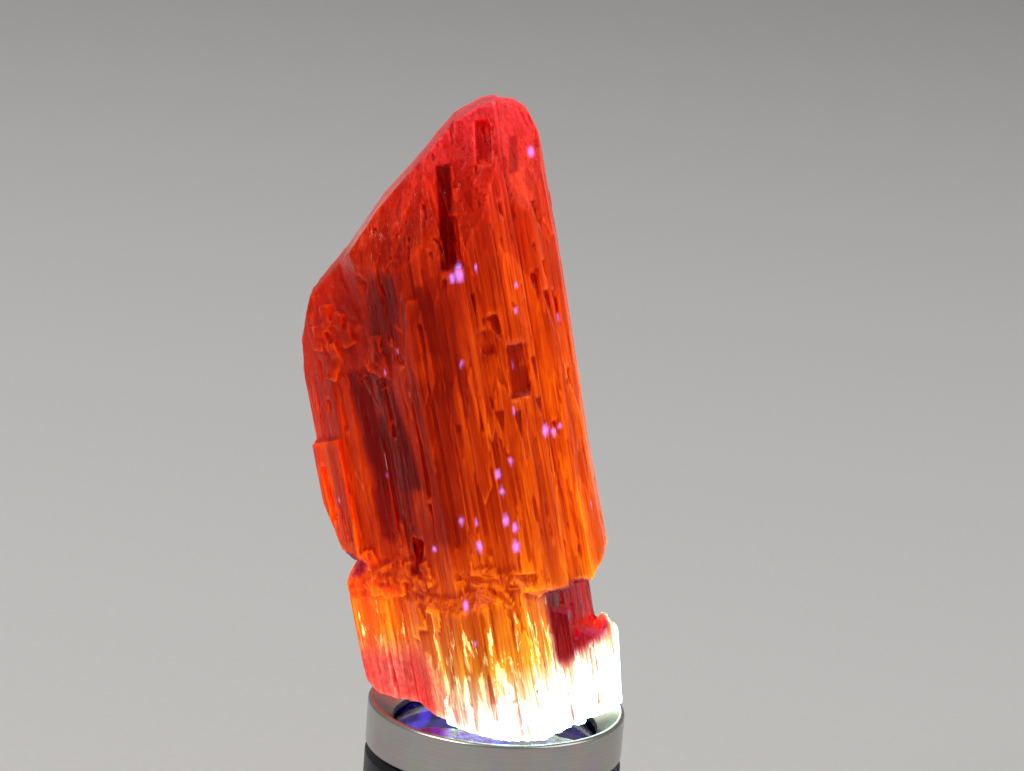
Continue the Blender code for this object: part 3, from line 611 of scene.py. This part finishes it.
clear_share = arithmetic("SUBTRACT", 1.0, masks["frosted"])
bands = texture("TexVoronoi", (1.0, 11.0), "Color", {"distance": "CHEBYCHEV"})
band = add(tree, "SeparateColor", links={0: bands}).outputs[0]
plates = texture("TexVoronoi", (3.2, 8.0), "Color", {"distance": "MANHATTAN"})
plate = add(tree, "SeparateColor", links={0: plates}).outputs[1]
seams = texture("TexVoronoi", (0.8, 9.0), "Distance", {"feature": "DISTANCE_TO_EDGE"})
streaks = texture("TexNoise", (0.5, 9.0), "Fac", {"Detail": 4.0, "Roughness": 0.6})
lines = texture("TexNoise", (0.17, 6.0), "Fac", {"Detail": 2.0})
mottle = texture("TexNoise", (0.5, 0.6), "Fac", {"Detail": 4.0, "Roughness": 0.65})
cloud = texture("TexNoise", (3.0, 6.0), "Fac", {"Detail": 2.0})
large_marks = daggers(1.9, 4.6, 7.3, 0.75)
small_marks = daggers(0.85, 2.2, 2.1, 0.6)
marks = arithmetic("MAXIMUM", large_marks, arithmetic("MULTIPLY", small_marks, 0.8))

relief = arithmetic("MULTIPLY", band, 0.05)
relief = arithmetic("MULTIPLY_ADD", spread(seams, 0.0, 0.12), 0.03, relief)
relief = arithmetic("MULTIPLY_ADD", lines, 0.02, relief)
relief = arithmetic("MULTIPLY", relief, clear_share)
relief = arithmetic("MULTIPLY_ADD", arithmetic("MULTIPLY", mottle, masks["frosted"]), 0.16, relief)
relief = arithmetic("MULTIPLY_ADD", marks, -0.1, relief)
surface = add(tree, "Bump", {"Strength": 1.0, "Distance": MM}, {"Height": relief}).outputs[0]
tree.links.new(surface, shader.inputs["Normal"])

# Painted shading: the glow is brighter on faces and bumps turned towards one fixed direction
PAINTED_LIGHT_WAY = (0.85, -0.25, 0.1)
painted_facet_light = add(tree, "VectorMath", {"operation": "DOT_PRODUCT", 1: PAINTED_LIGHT_WAY}, {0: surface}).outputs["Value"]
brightness = arithmetic("MULTIPLY", masks["glow"], spread(painted_facet_light, -0.7, 0.8, 0.7, 1.15))
brightness = arithmetic("MULTIPLY", brightness, spread(streaks, 0.3, 0.7, 0.74, 1.2))
brightness = arithmetic("MULTIPLY", brightness, spread(cloud, 0.3, 0.7, 0.85, 1.1))
banded = arithmetic("MULTIPLY", spread(band, 0.0, 1.0, 0.7, 1.14), spread(plate, 0.0, 1.0, 0.82, 1.1))
banded = arithmetic("MULTIPLY", arithmetic("SUBTRACT", banded, 1.0), clear_share)
brightness = arithmetic("MULTIPLY", brightness, arithmetic("ADD", banded, 1.0))
brightness = arithmetic("MULTIPLY", brightness, spread(lines, 0.34, 0.42, 0.6, 1.0))
grainy = arithmetic("MULTIPLY", arithmetic("SUBTRACT", spread(mottle, 0.35, 0.65, 0.6, 1.22), 1.0), masks["frosted"])
brightness = arithmetic("MULTIPLY", brightness, arithmetic("ADD", grainy, 1.0))
# Painted shade inside the etch-pit marks
brightness = arithmetic("MULTIPLY", brightness, arithmetic("SUBTRACT", 1.0, arithmetic("MULTIPLY", marks, 0.62)))
bright_seams = arithmetic("MULTIPLY", spread(seams, 0.035, 0.0), spread(cloud, 0.5, 0.62, 0.0, 0.35))
brightness = arithmetic("ADD", brightness, arithmetic("MULTIPLY", bright_seams, clear_share))
# Painted highlight along standing edges
brightness = arithmetic("MULTIPLY_ADD", masks["ridge_highlight"], 0.3, brightness)
veil = texture("TexNoise", (1.6, 2.4), "Fac", {"Detail": 3.0, "Distortion": 1.2})
veil_lines = spread(arithmetic("ABSOLUTE", arithmetic("SUBTRACT", veil, 0.5)), 0.022, 0.0)
brightness = arithmetic("MULTIPLY_ADD", arithmetic("MULTIPLY", veil_lines, masks["veiled"]), 0.45, brightness)

flames = texture("TexNoise", (0.8, 3.6), "Fac", {"Detail": 4.0, "Roughness": 0.62})
flame_top = spread(flames, 0.34, 0.66, -4.0, 13.0)
heat = spread(arithmetic("SUBTRACT", flame_top, height), -0.5, 1.5)
heat = arithmetic("MULTIPLY", heat, arithmetic("SUBTRACT", 1.0, masks["wing"]))
fire = add(tree, "MixRGB", {"Color2": linear("ffe98c")}, {"Fac": heat, "Color1": colours.outputs[0]})
core = arithmetic("MULTIPLY", spread(height, 7.0, 1.5), arithmetic("SUBTRACT", 1.0, masks["wing"]))
white = add(tree, "MixRGB", {"Color2": linear("fff8e4")}, {"Fac": core, "Color1": fire.outputs[0]})
rosy = add(tree, "MixRGB", {"Color2": linear("ea7f70")}, {"Fac": masks["wing"], "Color1": white.outputs[0]})
# Painted shade in the recess and notch, tinted violet
tone = add(tree, "MixRGB", {"Color2": linear("6a3a86")}, {"Fac": masks["deep"], "Color1": rosy.outputs[0]})
brightness = arithmetic("MULTIPLY", brightness, spread(heat, 0.0, 1.0, 1.0, 1.5))
brightness = arithmetic("MULTIPLY", brightness, spread(core, 0.0, 1.0, 1.0, 1.5))
# The crystal swallows green and blue before red, so what is dimmer is redder too
greener = arithmetic("POWER", brightness, 1.9)
dimming = add(tree, "CombineXYZ", links={0: brightness, 1: greener, 2: greener})
emitted = add(tree, "VectorMath", {"operation": "MULTIPLY"}, {0: tone.outputs[0], 1: dimming.outputs[0]}).outputs[0]
# Painted violet glints added to the glow
emitted = add(tree, "VectorMath", {"operation": "MULTIPLY_ADD", 1: linear("b48cff")[:3]}, {0: masks["painted_glint"], 2: emitted}).outputs[0]
tree.links.new(emitted, shader.inputs["Emission Color"])
shader.inputs["Emission Strength"].default_value = 1.0

matt = arithmetic("MULTIPLY_ADD", masks["frosted"], 0.4, spread(streaks, 0.3, 0.7, 0.03, 0.14))
tree.links.new(matt, shader.inputs["Roughness"])
shader.inputs["Base Color"].default_value = linear("ffffff")
shader.inputs["Transmission Weight"].default_value = 1.0
shader.inputs["IOR"].default_value = 1.66
# The photograph was taken in the dark, so the room shows only weakly in the faces
shader.inputs["Specular Tint"].default_value = (0.3, 0.1, 0.08, 1.0)
depth = add(tree, "VolumeAbsorption", {"Color": linear("f5a15f"), "Density": 1500.0})
tree.links.new(depth.outputs[0], tree.nodes["Material Output"].inputs["Volume"])
crystal.data.materials.clear()
crystal.data.materials.append(kunzite)
kunzite.cycles.emission_sampling = "NONE"
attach(crystal, "root")
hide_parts("kunzite_crystal")

# Studio
# A pale matt floor that sweeps up into a round wall, one large soft light from the left, a weaker one from the
# right, and a camera where the photographer's was: about 30 cm away, looking down a little, slightly rolled.

FLOOR_RADIUS = 1400.0
SWEEP_RADIUS = 700.0
outline = [(0.0, 0.0), (FLOOR_RADIUS, 0.0)]
for share in np.linspace(0.05, 1.0, 20):
    turn = share * math.pi / 2
    outline.append((FLOOR_RADIUS + SWEEP_RADIUS * math.sin(turn), SWEEP_RADIUS * (1.0 - math.cos(turn))))
floor = turned("studio_floor", outline)
paper, tree, shader = new_material("pale matt paper")
fibre = add(tree, "TexNoise", {"Scale": 900.0, "Detail": 3.0}, {"Vector": add(tree, "TexCoord").outputs["Object"]})
tone = add(tree, "MixRGB", {"Color1": linear("cfcdca"), "Color2": linear("d6d4d1")}, {"Fac": fibre.outputs["Fac"]})
shader.inputs["Roughness"].default_value = 0.9
tree.links.new(tone.outputs[0], shader.inputs["Base Color"])
floor.data.materials.append(paper)


def soft_light(name, place, size, power, aim):
    lamp = bpy.data.lights.new(name, "AREA")
    lamp.size = size
    lamp.energy = power
    holder = bpy.data.objects.new(name, lamp)
    bpy.context.scene.collection.objects.link(holder)
    holder.location = place
    holder.rotation_mode = "QUATERNION"
    holder.rotation_quaternion = (Vector(aim) - Vector(place)).to_track_quat("-Z", "Y")


soft_light("key_light", (-0.7, -0.5, 0.9), 0.7, 9.0, (0.0, 0.0, 0.05))
soft_light("fill_light", (0.9, -0.3, 0.7), 0.8, 4.0, (0.0, 0.0, 0.05))
world = bpy.data.worlds.new("studio_air")
world.use_nodes = True
world.node_tree.nodes["Background"].inputs["Color"].default_value = linear("f4f4f6")
world.node_tree.nodes["Background"].inputs["Strength"].default_value = 0.35
bpy.context.scene.world = world

CAMERA_DISTANCE = 300.0
CAMERA_RISE = math.radians(18.93)
CAMERA_ROLL = math.radians(4.388)
CAMERA_AIM = (-0.88, 0.0, 70.21)
camera_place = Vector((0.0, -math.cos(CAMERA_RISE), math.sin(CAMERA_RISE))) * CAMERA_DISTANCE
camera_place.z += rim_height
camera = bpy.data.objects.new("camera", bpy.data.cameras.new("camera"))
bpy.context.scene.collection.objects.link(camera)
camera.data.lens = 105.73
camera.data.sensor_width = 36.0
camera.data.clip_start = 0.01
camera.data.clip_end = 10.0
camera.location = camera_place * MM
camera.rotation_mode = "QUATERNION"
camera.rotation_quaternion = (Vector(CAMERA_AIM) - camera_place).to_track_quat("-Z", "Y") @ Quaternion((0.0, 0.0, 1.0), CAMERA_ROLL)
bpy.context.scene.camera = camera
bpy.context.scene.view_settings.view_transform = "Standard"
